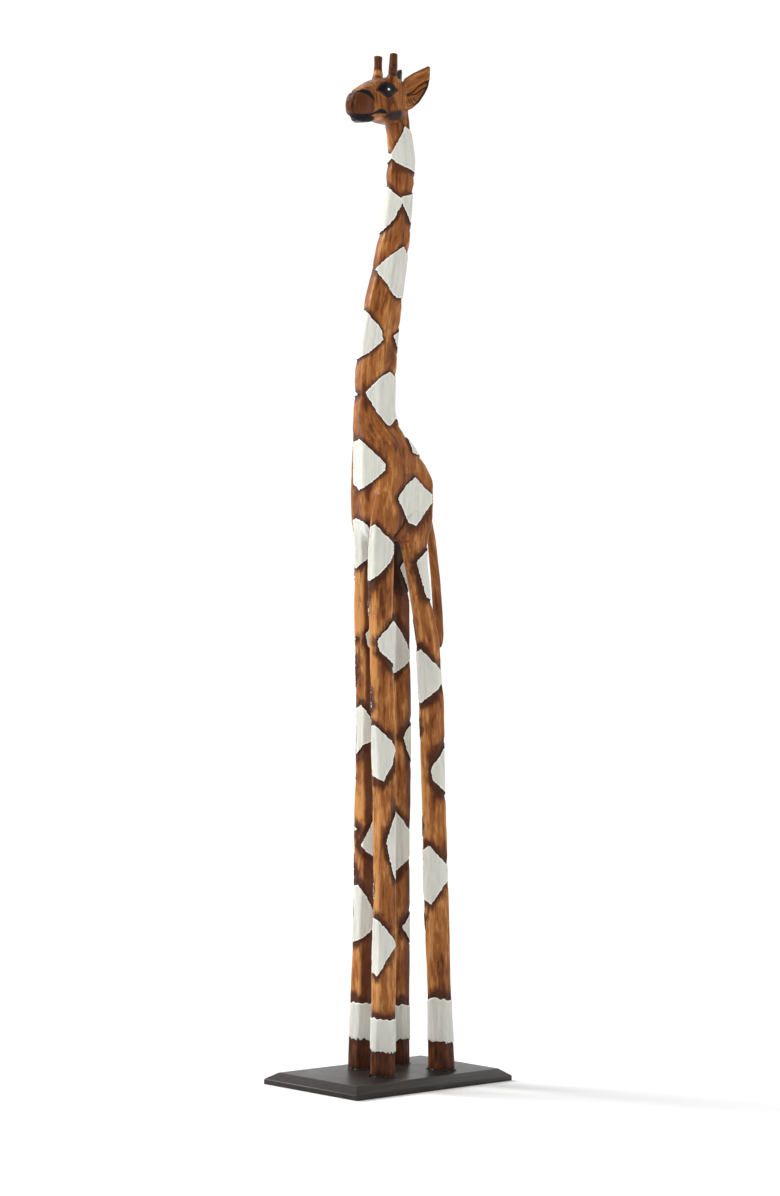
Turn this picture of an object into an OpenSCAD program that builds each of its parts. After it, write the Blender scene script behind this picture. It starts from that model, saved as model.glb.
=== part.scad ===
// Carved standing giraffe on a plinth.
// The animal faces -X, its left side is -Y, and the plinth rests on z = 0.
// Every carved member is a loft through a few eight-sided knife-cut sections.

/* [Plinth] */
// Length of the plinth along the animal's body
base_l = 272; // [220:1:320]
// Width of the plinth across the animal's body
base_w = 147; // [120:1:200]
// Thickness of the plinth at its middle
base_t = 14; // [10:0.5:24]
// Height of the plinth's upright edge, below the chamfer
base_edge = 6; // [3:0.5:9]
// How far the chamfer comes in from the edge
base_chamfer = 12; // [4:1:20]

/* [Legs] */
// Height of the glued joint between each leg and the body block
joint_z = 560; // [540:1:580]
// Width of a leg at its middle
leg_w = 25; // [20:0.5:30]
// Diameter of the dowel in each leg joint
dowel_d = 10; // [6:0.5:12]
// Length of the dowel in each leg joint
dowel_l = 56; // [30:1:80]

/* [Foot screws] */
// Diameter of the screw's shank
screw_d = 4.5; // [3:0.1:5]
// Diameter of the countersunk head
screw_head_d = 9; // [7:0.5:10]
// Length of the screw
screw_l = 45; // [30:1:60]
// Diameter of the clearance hole through the plinth
screw_hole_d = 5.5; // [5:0.1:7]

/* [Head] */
// Diameter of a horn
horn_d = 9.4; // [7:0.1:12]
// Height of the horn tips above the ground, the statue's overall height
total_h = 1194; // [1185:1:1205]
// Depth of the socket under a horn
horn_socket = 7; // [6:1:16]
// Distance between the two horns
horn_spread = 25; // [18:1:30]
// Length of the almond eye from corner to corner
eye_l = 34; // [26:1:38]
// Height of the almond eye
eye_h = 16; // [12:0.5:18]
// Thickness of an ear
ear_t = 6; // [4:0.5:8]

/* [Tail] */
// Width of the tail
tail_w = 8; // [6:0.5:12]
// Diameter of the tail's dowel
tail_dowel_d = 5; // [3:0.5:6]

/* [Hidden] */
eps = 0.01;

wood = [0.62, 0.34, 0.14];
dark_wood = [0.36, 0.20, 0.12];
stained = [0.24, 0.20, 0.18];
beech = [0.80, 0.64, 0.42];
steel = [0.70, 0.71, 0.72];
gloss_black = [0.05, 0.05, 0.06];

// Middle line of each leg, from the foot up, then its depth along X and its width along Y as
// shares of leg_w: [x, y, z, depth, width]. The left legs step ahead of the right ones in front
// and behind them at the back.
front_left = [
    [-43, -27, base_t, 1.08, 1.08], [-46, -26.5, 80, 0.99, 0.99], [-53, -25, 218, 0.97, 0.97],
    [-66.5, -23, 449, 0.99, 0.99], [-73, -22, joint_z, 1.02, 1.02], [-75, -21.5, 620, 1.06, 1.04],
    [-74, -21, 650, 1.06, 1.02], [-68, -20, 690, 1, 0.9]
];
front_right = [
    [-19.5, 28.6, base_t, 1.04, 1.04], [-21.6, 28.2, 80, 0.97, 0.97], [-26, 26.5, 212, 0.96, 0.96],
    [-36, 24, 412, 0.98, 0.98], [-48, 22, joint_z, 1.02, 1.02], [-54.5, 20.5, 620, 1.01, 1],
    [-60, 19.8, 650, 1, 0.97], [-64, 19.5, 690, 0.98, 0.9]
];
hind_left = [
    [56, -31, base_t, 1.1, 1.1], [50, -30, 80, 1.01, 1.01], [38, -27.5, 215, 1.02, 1.02],
    [19.4, -24, 450, 1.03, 1.02], [9, -23, 520, 0.95, 0.97], [-3, -22, joint_z, 0.86, 0.92],
    [-9.7, -22, 589, 0.92, 0.96], [-16.2, -22, 612, 1, 1], [-20.6, -22, 636, 1.38, 1.02],
    [-24, -21.5, 665, 1.8, 1]
];
hind_right = [
    [46.6, 30.5, base_t, 1.08, 1.08], [41, 29.4, 80, 1, 1], [33.2, 27.4, 210, 0.98, 0.98],
    [16.2, 23.2, 447, 0.98, 0.98], [6.8, 21.8, joint_z, 0.92, 0.94], [1.2, 21.5, 589, 0.94, 0.96],
    [-7, 22, 612, 1.02, 1], [-14, 22, 636, 1.4, 1.02], [-20, 21.5, 665, 1.8, 1]
];

// Sections of the body and neck, from the belly up:
// [front x, back x, z, half width in Y, corner cut at the back].
body_sections = [
    [-72, 2, 634, 30, 14], [-79, 13.5, 650, 34, 17], [-83, 18.3, 680, 35, 20], [-85, 15, 705, 35, 20],
    [-86, -5, 727, 32, 15], [-87, -22.5, 744, 29.5, 12], [-91, -43.5, 761, 26, 11],
    [-93, -52, 780, 23, 9.5], [-94, -52, 830, 21.5, 9], [-92, -50, 865, 21, 9],
    [-86.5, -46.5, 900, 20, 8.5], [-77.5, -40.5, 935, 18.5, 8], [-70, -36, 970, 17, 7],
    [-63, -32, 1006, 15.5, 6.5], [-59, -30, 1041, 14.5, 6], [-58, -28.5, 1076, 15, 6],
    [-60, -34.5, 1100, 14, 6], [-67, -42.5, 1122, 14, 6], [-70, -48, 1145, 14, 6]
];
side_cut = 0.4;

// Sections of the head, from the muzzle to the nape: [x, underside z, top z, half width].
head_sections = [
    [-136, 1122, 1133, 3], [-133.5, 1117.5, 1138, 7.5], [-128.5, 1114.5, 1143.5, 11.5],
    [-121, 1115.5, 1149, 14], [-112, 1118, 1154.5, 13.5], [-104, 1118, 1158.5, 14.5],
    [-94, 1117, 1163, 17], [-80, 1114.5, 1167, 18.5], [-66, 1114.5, 1168, 18.5],
    [-55, 1122, 1166, 16], [-48, 1131, 1160, 11.5], [-43, 1137, 1152, 7]
];
// Sections of the lower lip, from its tip backwards, in the same form.
lip_sections = [
    [-129, 1113.5, 1120, 4], [-126, 1110.5, 1120, 7], [-118, 1109.5, 1120, 9],
    [-108, 1111, 1120, 9], [-98, 1114, 1120, 7]
];

// Sections of the tail, from the rump down: [x, z, size as a share of tail_w].
tail_sections = [
    [14, 704, 0.6], [17, 695, 1], [24, 673, 1.05], [36, 638, 1.15], [46, 591, 1.25],
    [52, 555, 1.33], [55.5, 525, 1.38], [56.5, 516, 1.2], [57, 511, 0.7]
];

tail_dowel_z = 680;

horn_x = -76;
horn_top_left = total_h;
horn_top_right = total_h - 1;
horn_base = 1166;
eye_x = -87;
eye_z = 1150;
eye_y = 18.5;
eye_depth = 4;
eye_tilt = 8;
eye_turn = 7;
ear_root_x = -58;
ear_root_y = 15;
ear_turn_left = 17;
ear_turn_right = 9;
screw_sink = 1;
// Film of glue round each peg let into the body block
glue_gap = 0.1;

// An eight-sided outline: a rectangle of half sizes a and b with its corners cut off by c.
function cut_rect(a, b, c) = [
    [a, -b + c], [a, b - c], [a - c, b], [-a + c, b],
    [-a, b - c], [-a, -b + c], [-a + c, -b], [a - c, -b]
];

// A horizontal ring of the body, from front x to back x, with its own corner cut at the back.
function body_ring(s) = let (w = s[3], c = side_cut * s[3], d = s[4]) [
    [s[1], -w + d, s[2]], [s[1], w - d, s[2]], [s[1] - d, w, s[2]], [s[0] + c, w, s[2]],
    [s[0], w - c, s[2]], [s[0], -w + c, s[2]], [s[0] + c, -w, s[2]], [s[1] - d, -w, s[2]]
];

// A horizontal ring of a leg or the tail, and an upright ring of the head.
function level_ring(x, y, z, a, b, cut) = [for (p = cut_rect(a, b, cut)) [x + p[0], y + p[1], z]];
function head_ring(s) = let (w = s[3], h = (s[2] - s[1]) / 2)
    [for (p = cut_rect(w, h, side_cut * min(w, h))) [s[0], p[0], s[1] + h + p[1]]];

// A solid through rings of equal point count, each ring anticlockwise seen from its far end.
module loft(rings) {
    n = len(rings[0]);
    m = len(rings);
    sides = [for (i = [0:m - 2], k = [0:n - 1], t = [0, 1])
        let (a = i * n + k, b = i * n + (k + 1) % n)
        t == 0 ? [a, a + n, b] : [b, a + n, b + n]];
    first = [for (k = [1:n - 2]) [0, k, k + 1]];
    last = [for (k = [1:n - 2]) [(m - 1) * n, (m - 1) * n + k + 1, (m - 1) * n + k]];
    polyhedron(points = [for (r = rings, p = r) p], faces = concat(sides, first, last));
}

// The same for a member that bends: each stretch between two rings is convex, as a knife leaves it.
module carved(rings) {
    for (i = [0:len(rings) - 2]) hull() loft([rings[i], rings[i + 1]]);
}

// A straight round rod from point p to point q.
module rod(p, q, d) {
    v = q - p;
    translate(p)
        rotate([0, acos(v[2] / norm(v)), atan2(v[1], v[0])])
            cylinder(d = d, h = norm(v), $fn = 64);
}

// The stretch of a leg's line between two heights, with the cut ends put in at those heights.
function at_height(line, z, i = 0) =
    z <= line[i + 1][2] || i == len(line) - 2
        ? let (t = (z - line[i][2]) / (line[i + 1][2] - line[i][2]))
            line[i] + t * (line[i + 1] - line[i])
        : at_height(line, z, i + 1);
function stretch(line, z0, z1) = concat(
    [at_height(line, z0)],
    [for (s = line) if (s[2] > z0 + eps && s[2] < z1 - eps) s],
    [at_height(line, z1)]
);

function leg_rings(line, z0, z1) = [for (s = stretch(line, z0, z1))
    let (a = s[3] * leg_w / 2, b = s[4] * leg_w / 2)
    level_ring(s[0], s[1], s[2], a, b, side_cut * min(a, b))];

module joint_dowel(line, gap = 0) {
    low = at_height(line, joint_z - dowel_l / 2);
    high = at_height(line, joint_z + dowel_l / 2);
    rod([low[0], low[1], low[2]], [high[0], high[1], high[2]], dowel_d + 2 * gap);
}

// A countersunk screw driven up through the plinth into a foot.
module foot_screw(line) {
    foot = line[0];
    translate([foot[0], foot[1], screw_sink]) {
        cylinder(d1 = screw_head_d, d2 = screw_d, h = (screw_head_d - screw_d) / 2, $fn = 48);
        cylinder(d = screw_d, h = screw_l, $fn = 48);
    }
}

// The hole for it: a recess, a right-angled countersink and a clearance hole.
module screw_hole(line) {
    foot = line[0];
    translate([foot[0], foot[1], 0]) {
        translate([0, 0, -1]) cylinder(d = screw_hole_d, h = base_t + 2, $fn = 48);
        translate([0, 0, -eps]) cylinder(d = screw_head_d + 0.5, h = screw_sink + eps, $fn = 48);
        translate([0, 0, screw_sink])
            cylinder(d1 = screw_head_d, d2 = screw_hole_d, h = (screw_head_d - screw_hole_d) / 2,
                $fn = 48);
    }
}

// The long wedge that cuts the chamfer along one edge of the plinth.
module chamfer_wedge(side, reach, along) {
    rise = base_t - base_edge;
    linear_extrude(along, center = true)
        polygon([[side * (reach + base_chamfer), base_edge - rise],
            [side * (reach + base_chamfer), base_t + 1],
            [side * (reach - base_chamfer * (1 + 1 / rise)), base_t + 1]]);
}

module base_plinth() {
    color(stained) difference() {
        translate([-base_l / 2, -base_w / 2, 0]) cube([base_l, base_w, base_t]);
        for (side = [-1, 1]) {
            rotate([90, 0, 90]) chamfer_wedge(side, base_w / 2, base_l + 2);
            rotate([90, 0, 0]) chamfer_wedge(side, base_l / 2, base_w + 2);
        }
        for (line = [front_left, front_right, hind_left, hind_right]) screw_hole(line);
    }
}

module leg(line) {
    color(wood) difference() {
        loft(leg_rings(line, base_t, joint_z));
        joint_dowel(line);
        foot_screw(line);
    }
}

module body_neck_head() {
    color(wood) difference() {
        union() {
            carved([for (s = body_sections) body_ring(s)]);
            carved([for (s = head_sections) head_ring(s)]);
            carved([for (s = lip_sections) head_ring(s)]);
            for (line = [front_left, front_right, hind_left, hind_right])
                carved(leg_rings(line, joint_z, line[len(line) - 1][2]));
        }
        for (line = [front_left, front_right, hind_left, hind_right]) joint_dowel(line, glue_gap);
        for (side = [-1, 1]) {
            horn_rod(side, glue_gap);
            eye_block(side, glue_gap);
            ear_block(side);
        }
        tail_pin(glue_gap);
        tail_block();
    }
}

module horn_rod(side, gap = 0) {
    top = side < 0 ? horn_top_left : horn_top_right;
    translate([horn_x, side * horn_spread / 2, horn_base - horn_socket])
        cylinder(d = horn_d + 2 * gap, h = top - horn_base + horn_socket, $fn = 64);
}

// An almond-shaped plug let into the side of the head, its flat face set to the head's taper.
module eye_block(side, gap = 0) {
    r = (eye_l * eye_l / 4 + eye_h * eye_h / 4) / eye_h;
    translate([eye_x, side * eye_y, eye_z]) rotate([-side * 90, -eye_tilt, side * eye_turn])
        intersection_for (way = [-1, 1])
            translate([0, way * (r - eye_h / 2), -eye_depth])
                cylinder(r = r + gap, h = eye_depth, $fn = 128);
}

// A leaf-shaped plate laid back from the side of the head, with its root let in.
module ear_block(side) {
    translate([ear_root_x, side * ear_root_y, 0]) rotate([90, 0, side < 0 ? -ear_turn_left : ear_turn_right])
        linear_extrude(ear_t, center = true)
            polygon([[-4, 1140], [-5, 1160], [-2, 1167], [10, 1175], [29, 1186], [31.5, 1184],
                [31, 1171], [27, 1156], [18, 1141.5], [6, 1131], [-1, 1129]]);
}

module tail_block() {
    loft([for (i = [len(tail_sections) - 1:-1:0])
        let (s = tail_sections[i], h = s[2] * tail_w / 2)
        level_ring(s[0], 0, s[1], h, h, side_cut * h)]);
}

module tail_pin(gap = 0) {
    rod([-8, 0, tail_dowel_z], [22, 0, tail_dowel_z], tail_dowel_d + 2 * gap);
}

module horn(side) {
    color(dark_wood) horn_rod(side);
}

module eye(side) {
    color(gloss_black) eye_block(side);
}

module ear(side) {
    color(wood) ear_block(side);
}

module tail() {
    color(wood) difference() {
        tail_block();
        tail_pin();
    }
}

module foot_screws() {
    color(steel) for (leg = [front_left, front_right, hind_left, hind_right]) foot_screw(leg);
}

base_plinth();
body_neck_head();
leg(front_left);  // front_leg_left
leg(front_right);  // front_leg_right
leg(hind_left);  // hind_leg_left
leg(hind_right);  // hind_leg_right
color(beech) joint_dowel(front_left);  // front_dowel_left
color(beech) joint_dowel(front_right);  // front_dowel_right
color(beech) joint_dowel(hind_left);  // hind_dowel_left
color(beech) joint_dowel(hind_right);  // hind_dowel_right
tail();
color(beech) tail_pin();  // tail_dowel
ear(-1);  // ear_left
ear(1);  // ear_right
horn(-1);  // horn_left
horn(1);  // horn_right
eye(-1);  // eye_left
eye(1);  // eye_right
foot_screws();
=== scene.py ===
"""Carved giraffe statue: the looks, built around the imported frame.

Lengths in the tables are millimetres, and meshes are scaled to metres as they are made.
The animal faces -X, its left side is -Y, and the plinth rests on z = 0.
Every carved piece is a distance field of knife-cut planes, turned into a closed mesh.
"""
from functools import partial

import bmesh
import bpy
import numpy as np
from mathutils import Matrix, Vector


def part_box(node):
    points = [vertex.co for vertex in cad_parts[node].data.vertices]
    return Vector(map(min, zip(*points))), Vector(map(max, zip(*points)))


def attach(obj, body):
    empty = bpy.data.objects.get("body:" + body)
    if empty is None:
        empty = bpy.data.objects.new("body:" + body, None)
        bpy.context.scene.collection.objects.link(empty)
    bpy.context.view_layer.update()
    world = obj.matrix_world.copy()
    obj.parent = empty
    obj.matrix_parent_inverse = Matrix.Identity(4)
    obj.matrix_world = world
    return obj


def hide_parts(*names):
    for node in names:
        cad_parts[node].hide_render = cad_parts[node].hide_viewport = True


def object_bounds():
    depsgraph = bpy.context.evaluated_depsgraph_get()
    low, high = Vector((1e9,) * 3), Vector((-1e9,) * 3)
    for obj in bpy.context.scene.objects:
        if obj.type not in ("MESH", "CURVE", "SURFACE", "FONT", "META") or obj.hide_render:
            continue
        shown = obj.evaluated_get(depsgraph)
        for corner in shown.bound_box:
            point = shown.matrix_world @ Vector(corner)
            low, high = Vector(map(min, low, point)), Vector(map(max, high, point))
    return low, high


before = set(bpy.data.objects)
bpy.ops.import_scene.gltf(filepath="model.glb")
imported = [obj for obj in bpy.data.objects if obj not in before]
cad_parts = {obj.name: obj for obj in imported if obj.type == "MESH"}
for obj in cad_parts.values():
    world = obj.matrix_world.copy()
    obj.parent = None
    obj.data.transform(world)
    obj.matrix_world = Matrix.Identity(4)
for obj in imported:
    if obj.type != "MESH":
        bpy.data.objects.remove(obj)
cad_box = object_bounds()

MM = 0.001

# ---------------------------------------------------------------- camera

CAMERA_TURN = -47.83  # degrees round the object
CAMERA_RISE = -0.06
CAMERA_ROLL = 2.275
CAMERA_AWAY = 3.7  # metres
CAMERA_AIM = Vector((-0.01475, 0.01629, 0.56725))
LENS, SENSOR = 94.98, 36  # millimetres


def put_object(name, data):
    made = bpy.data.objects.new(name, data)
    bpy.context.collection.objects.link(made)
    return made


def make_camera():
    turn, rise, roll = (np.radians(v) for v in (CAMERA_TURN, CAMERA_RISE, CAMERA_ROLL))
    back = Vector((np.sin(turn) * np.cos(rise), -np.cos(turn) * np.cos(rise), np.sin(rise)))
    right = (-back).cross(Vector((0, 0, 1))).normalized()
    up = right.cross(-back)
    right, up = (right * np.cos(roll) + up * np.sin(roll),
                 up * np.cos(roll) - right * np.sin(roll))
    camera = put_object("camera", bpy.data.cameras.new("camera"))
    camera.matrix_world = (Matrix.Translation(CAMERA_AIM + back * CAMERA_AWAY)
                           @ Matrix((right, up, back)).transposed().to_4x4())
    camera.data.lens, camera.data.sensor_width = LENS, SENSOR
    camera.data.clip_end = 100
    bpy.context.scene.camera = camera


make_camera()

# ---------------------------------------------------------------- sizes from the frame

BASE_X, BASE_Y, BASE_TOP = (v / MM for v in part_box("base_plinth")[1])
JOINT_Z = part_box("front_leg_left")[1][2] / MM
TOP_Z = cad_box[1][2] / MM

# ---------------------------------------------------------------- section tables

# Legs: [x, y, z, half depth in X, half width in Y]
LEG_LINES = {
    "front_leg_left": [
        [-43, -27, 14, 13.1, 13.1], [-45.5, -26.8, 80, 12.1, 12.1], [-51, -26.6, 218, 12, 12],
        [-57.4, -25.8, 334, 12.1, 12.1], [-65.5, -24, 449, 12.2, 12.2],
        [-73, -22, 560, 12.7, 12.7], [-75, -21.5, 620, 13.2, 13], [-74, -21, 650, 13.2, 12.7],
        [-68, -20, 690, 12.5, 11.2]],
    "front_leg_right": [
        [-19.5, 28.6, 14, 13, 13], [-21.6, 28.2, 80, 12.1, 12.1], [-26, 26.5, 212, 12, 12],
        [-36, 24, 412, 12.2, 12.2], [-48, 22, 560, 12.7, 12.7], [-54.5, 20.5, 620, 12.6, 12.5],
        [-60, 19.8, 650, 12.5, 12.1], [-64, 19.5, 690, 12.2, 11.2]],
    "hind_leg_left": [
        [56, -31, 14, 13.7, 13.7], [50, -30, 80, 12.6, 12.6], [38, -27.5, 215, 12.7, 12.7],
        [19.4, -24, 450, 12.9, 12.7], [9, -23, 520, 11.9, 12.1], [-3, -22, 560, 10.7, 11.5],
        [-9.7, -22, 589, 11.5, 12], [-16.2, -22, 612, 12.5, 12.5], [-20.6, -22, 636, 17.2, 12.7],
        [-24, -21.5, 665, 22.5, 12.5]],
    "hind_leg_right": [
        [46.6, 30.5, 14, 13.5, 13.5], [41, 29.4, 80, 12.5, 12.5], [33.2, 27.4, 210, 12.2, 12.2],
        [16.2, 23.2, 447, 12.2, 12.2], [6.8, 21.8, 560, 11.5, 11.7], [1.2, 21.5, 589, 11.7, 12],
        [-7, 22, 612, 12.7, 12.5], [-14, 22, 636, 17.5, 12.7], [-20, 21.5, 665, 22.5, 12.5]],
}
# How far each corner is cut back, as a share of the half width:
# (front left, front right, back left, back right)
LEG_CORNERS = {
    "front_leg_left": (0.8, 0.42, 0.4, 0.4),
    "front_leg_right": (0.55, 0.38, 0.4, 0.4),
    "hind_leg_left": (0.75, 0.42, 0.36, 0.4),
    "hind_leg_right": (0.5, 0.4, 0.4, 0.4),
}
# Body and neck: [front x, back x, z, half width in Y, back corner cut]
BODY = [
    [-72, 2, 634, 30, 14], [-79, 13.5, 650, 34, 17], [-83, 18.3, 680, 35, 20], [-85, 15, 705, 35, 20],
    [-86, -5, 727, 32, 15], [-87, -22.5, 744, 29.5, 12], [-91, -43.5, 761, 26, 11],
    [-93, -52, 780, 23, 9.5], [-94, -52, 830, 21.5, 9], [-92, -50, 865, 21, 9],
    [-86.5, -46.5, 900, 20, 8.5], [-77.5, -40.5, 935, 18.5, 8], [-70, -36, 970, 17, 7],
    [-63, -32, 1006, 15.5, 6.5], [-59, -30, 1041, 14.5, 6], [-58, -28.5, 1076, 15, 6],
    [-60, -34.5, 1100, 14, 6], [-67, -42.5, 1122, 14, 6], [-70, -48, 1145, 14, 6]]
BODY_FRONT_CUT = 0.4
# Head and lower lip: [x, underside z, top z, half width]
HEAD = [
    [-136, 1122, 1133, 3], [-133.5, 1117.5, 1138, 7.5], [-128.5, 1115.5, 1143.5, 11.5],
    [-121, 1116.5, 1149, 13.6], [-112, 1118, 1154.5, 13.2], [-104, 1118, 1158.5, 14.5],
    [-94, 1117, 1163, 17], [-80, 1114.5, 1167, 18.5], [-66, 1114.5, 1168, 18.5],
    [-55, 1122, 1166, 16], [-48, 1131, 1160, 11.5], [-43, 1137, 1152, 7]]
LIP = [[-129, 1113.5, 1119, 4], [-126, 1110.7, 1119, 7], [-118, 1109.7, 1119, 9.5],
       [-108, 1111.2, 1120, 10], [-98, 1114.5, 1121, 8]]
# Tail: [x, z, half width]
TAIL = [[14, 704, 2.4], [17, 695, 4], [24, 673, 4.2], [36, 638, 4.6], [46, 591, 5],
        [52, 555, 5.3], [55.5, 525, 5.5], [56.5, 516, 4.9], [57, 511, 2.8]]

# ---------------------------------------------------------------- pale patches

# Knife-cut outlines on each limb as (distance round from the near front corner, height z).
# Round is negative on the front face and positive along the flank. "near" outlines are laid out
# from the left front corner, and "far" ones from the right front corner.
NEAR_PATCHES = {
    "body": [
        [(10, 1113), (16, 1110), (34, 1106), (34, 1058), (22, 1063), (13, 1065), (4, 1067),
         (-6, 1071), (-16, 1076), (-18, 1082)],
        [(-17, 1082), (-34, 1086), (-34, 1067), (-23, 1072), (-16, 1077)],
        [(-34, 1048), (-19, 1043), (-8, 1036), (4, 1029), (7, 1026), (2, 1017), (-1, 1013),
         (-3, 1008), (-8, 1003), (-12, 999), (-15, 997), (-22, 991), (-34, 986)],
        [(3, 1031), (23, 1037), (38, 1039), (38, 996), (22, 1005), (15, 1015), (8, 1021)],
        [(18, 974), (25, 967), (42, 962), (42, 916), (23, 914), (20, 914), (10, 920), (2, 927),
         (-14, 939), (-23, 946), (-9, 958)],
        [(-28, 898), (-15, 888), (-1, 879), (5, 871), (5, 868), (8, 864), (2, 859), (-13, 849),
         (-28, 843), (-48, 836), (-48, 905)],
        [(24, 869), (31, 874), (50, 880), (50, 850), (31, 858), (28, 864)],
        [(20, 827), (25, 826), (31, 822), (50, 818), (50, 768), (30, 774), (21, 766), (15, 765),
         (-1, 782), (-18, 802), (2, 817)],
        [(-30, 801), (-48, 811), (-48, 790)],
        [(-37, 749), (-46, 746), (-72, 740), (-72, 702), (-53, 698), (-48, 695), (-44, 690),
         (-23, 700), (-1, 714), (1, 721), (-19, 736)],
        [(46, 752), (50, 737), (57, 734.5), (62, 735), (86, 733), (86, 758)],
        [(50, 708), (64, 697), (79, 689), (79, 681), (63, 666), (47, 652), (37, 655), (19, 682),
         (35, 699)]],
    "front_leg_left": [
        [(-12, 651), (5, 640), (19, 631), (21, 629), (21, 618), (15, 609), (6, 600), (-5, 593),
         (-19, 586), (-36, 591), (-36, 644), (-20, 647)],
        [(20, 540), (5, 528), (-7, 517), (-4, 507), (9, 499), (19, 491), (36, 486), (36, 545)],
        [(-14, 420), (0, 412), (12, 404), (18, 398), (20, 393), (14, 375), (6, 365), (-1, 356),
         (-10, 359), (-20, 362), (-34, 366), (-34, 414), (-20, 419)],
        [(19, 321), (9, 300), (4, 286), (9, 268), (14, 250), (19, 242), (36, 236), (36, 328)],
        [(-17, 198), (-8, 194), (-4, 189), (-1, 190), (8, 181), (19, 170), (20, 167), (12, 159),
         (5, 151), (-4, 139), (-12, 130), (-17, 134), (-34, 140), (-34, 196)]],
    "front_leg_right": [
        [(-14, 658), (-2, 653), (16, 643), (18, 625), (3, 612), (-7, 607), (-17, 600), (-34, 606),
         (-34, 650)],
        [(-3, 525), (8, 534), (24, 530), (24, 505), (8, 504), (0, 511)],
        [(-19, 518), (-34, 528), (-34, 508)],
        [(-12, 441), (-3, 435), (7, 422), (15, 412), (14, 403), (4, 399), (-8, 395), (-18, 384),
         (-34, 380), (-34, 440), (-18, 437)],
        [(24, 315), (11, 307), (-1, 289), (-9, 277), (1, 270), (12, 265), (24, 258)],
        [(-15, 296), (-32, 304), (-32, 288)],
        [(-13, 231), (-4, 222), (1, 218), (11, 205), (18, 196), (18, 182), (11, 178), (-2, 170),
         (-17, 164), (-34, 160), (-34, 235), (-18, 229)]],
    "hind_leg_left": [
        [(1, 609), (10, 616), (24, 625), (44, 627), (44, 575), (17, 567), (14, 568), (9, 571)],
        [(-12, 509), (2, 499), (19, 486), (21, 484), (21, 471), (18, 468), (-2, 454), (-13, 449),
         (-17, 446), (-36, 452), (-36, 500), (-20, 505)],
        [(21, 395), (7, 379), (0, 374), (-4, 368), (-1, 357), (11, 349), (19, 343), (36, 337),
         (36, 403)],
        [(-10, 279), (-18, 274), (-36, 270), (-36, 222), (-19, 215), (-9, 210), (4, 223),
         (19, 238), (22, 241), (22, 256), (19, 257), (4, 269)]],
    "hind_leg_right": [
        [(9, 603), (20, 612), (36, 615), (36, 572), (18, 578)],
        [(-8, 539), (2, 529), (12, 516), (19, 501), (21, 498), (8, 487), (-9, 479), (-28, 476),
         (-28, 545)],
        [(7, 403), (11, 411), (19, 418), (36, 424), (36, 370), (19, 378), (13, 389)],
        [(-5, 315), (8, 304), (18, 293), (21, 289), (21, 264), (17, 260), (7, 253), (-3, 247),
         (-24, 240), (-24, 322)],
        [(20, 193), (13, 185), (6, 179), (13, 172), (20, 163), (36, 156), (36, 200)]],
}
# The far side's patches as lozenges: (round, z, half width, half height, lean)
FAR_LOZENGES = {
    "body": [(23, 1084, 10, 21, 2), (24, 1006, 11, 17, -2), (26, 946, 13, 26, 3),
             (28, 868, 14, 25, -3), (28, 806, 14, 23, 3), (40, 752, 17, 22, -3),
             (38, 708, 19, 27, 2), (78, 690, 18, 26, -3)],
    "front_leg_left": [(12, 560, 10, 23, 2), (10, 448, 12, 26, -2), (14, 338, 10, 24, 3),
                       (12, 232, 12, 27, -2), (37, 440, 11, 26, 2), (38, 300, 11, 22, -3),
                       (37, 180, 10, 24, 2)],
    "front_leg_right": [(14, 600, 13, 28, 2), (10, 476, 13, 28, -3), (17, 356, 13, 28, 2),
                        (9, 246, 13, 26, -2), (20, 150, 12, 24, 2), (40, 545, 11, 26, -2),
                        (40, 418, 10, 22, 2), (38, 205, 11, 24, -2)],
    "hind_leg_left": [(11, 535, 10, 24, 2), (12, 416, 12, 26, -2), (12, 305, 11, 24, 3),
                      (12, 190, 11, 26, -2), (38, 440, 10, 22, 2), (38, 240, 11, 22, -2)],
    "hind_leg_right": [(15, 560, 13, 29, 2), (12, 440, 13, 27, -3), (15, 320, 13, 28, 2),
                       (11, 205, 13, 26, -2), (38, 510, 11, 24, 2), (38, 370, 10, 24, -2),
                       (39, 258, 11, 24, 2), (38, 150, 10, 20, -2)],
}
# The pale band above each hoof: (lower edge z, upper edge z)
FOOT_BANDS = {"front_leg_left": (44, 82), "front_leg_right": (49, 92),
              "hind_leg_left": (48, 99), "hind_leg_right": (45, 86)}

GROOVE_DEPTH, GROOVE_WALL, GROOVE_REACH = 1.5, 0.9, 13
BAND_RISE = 0.9
NO_PATCH = 40.0  # a distance that keeps a piece clear of any patch's halo
SIDES = ((-1, "left"), (1, "right"))


def lozenge(mid, z, wide, high, lean):
    """A knife-cut lozenge with two blunt corners."""
    return [(mid + lean - 1, z + high), (mid + lean + 2, z + 0.93 * high),
            (mid + wide, z + 0.12 * high), (mid + wide, z - 0.08 * high),
            (mid - lean + 1, z - high), (mid - lean - 3, z - 0.9 * high),
            (mid - wide, z - 0.05 * high)]


# ---------------------------------------------------------------- small maths

WAVES = 6  # in a ripple
TABLE_STEP, TABLE_ROOM = 2, 40  # the spacing of a softened table, and how far it runs on at each end
DIAGONAL = 0.7071  # turns a sum of two sides into a distance


def smax(a, b, k):
    """The larger of two fields, blended over the width k."""
    h = np.clip(0.5 + 0.5 * (a - b) / k, 0, 1)
    return b + (a - b) * h + k * h * (1 - h)


def smin(a, b, k):
    """The smaller of two fields, blended over the width k."""
    return -smax(-a, -b, k)


def ease(v, low, high):
    """0 up to low, rising smoothly to 1 at high."""
    t = np.clip((v - low) / (high - low), 0, 1)
    return t * t * (3 - 2 * t)


def fade(v, low, high):
    """1 up to low, falling smoothly to 0 at high."""
    return 1 - ease(v, low, high)


def bell(v, wide):
    """1 at 0, falling on both sides; 0.37 at wide."""
    return np.exp(-(v / wide) ** 2)


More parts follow.
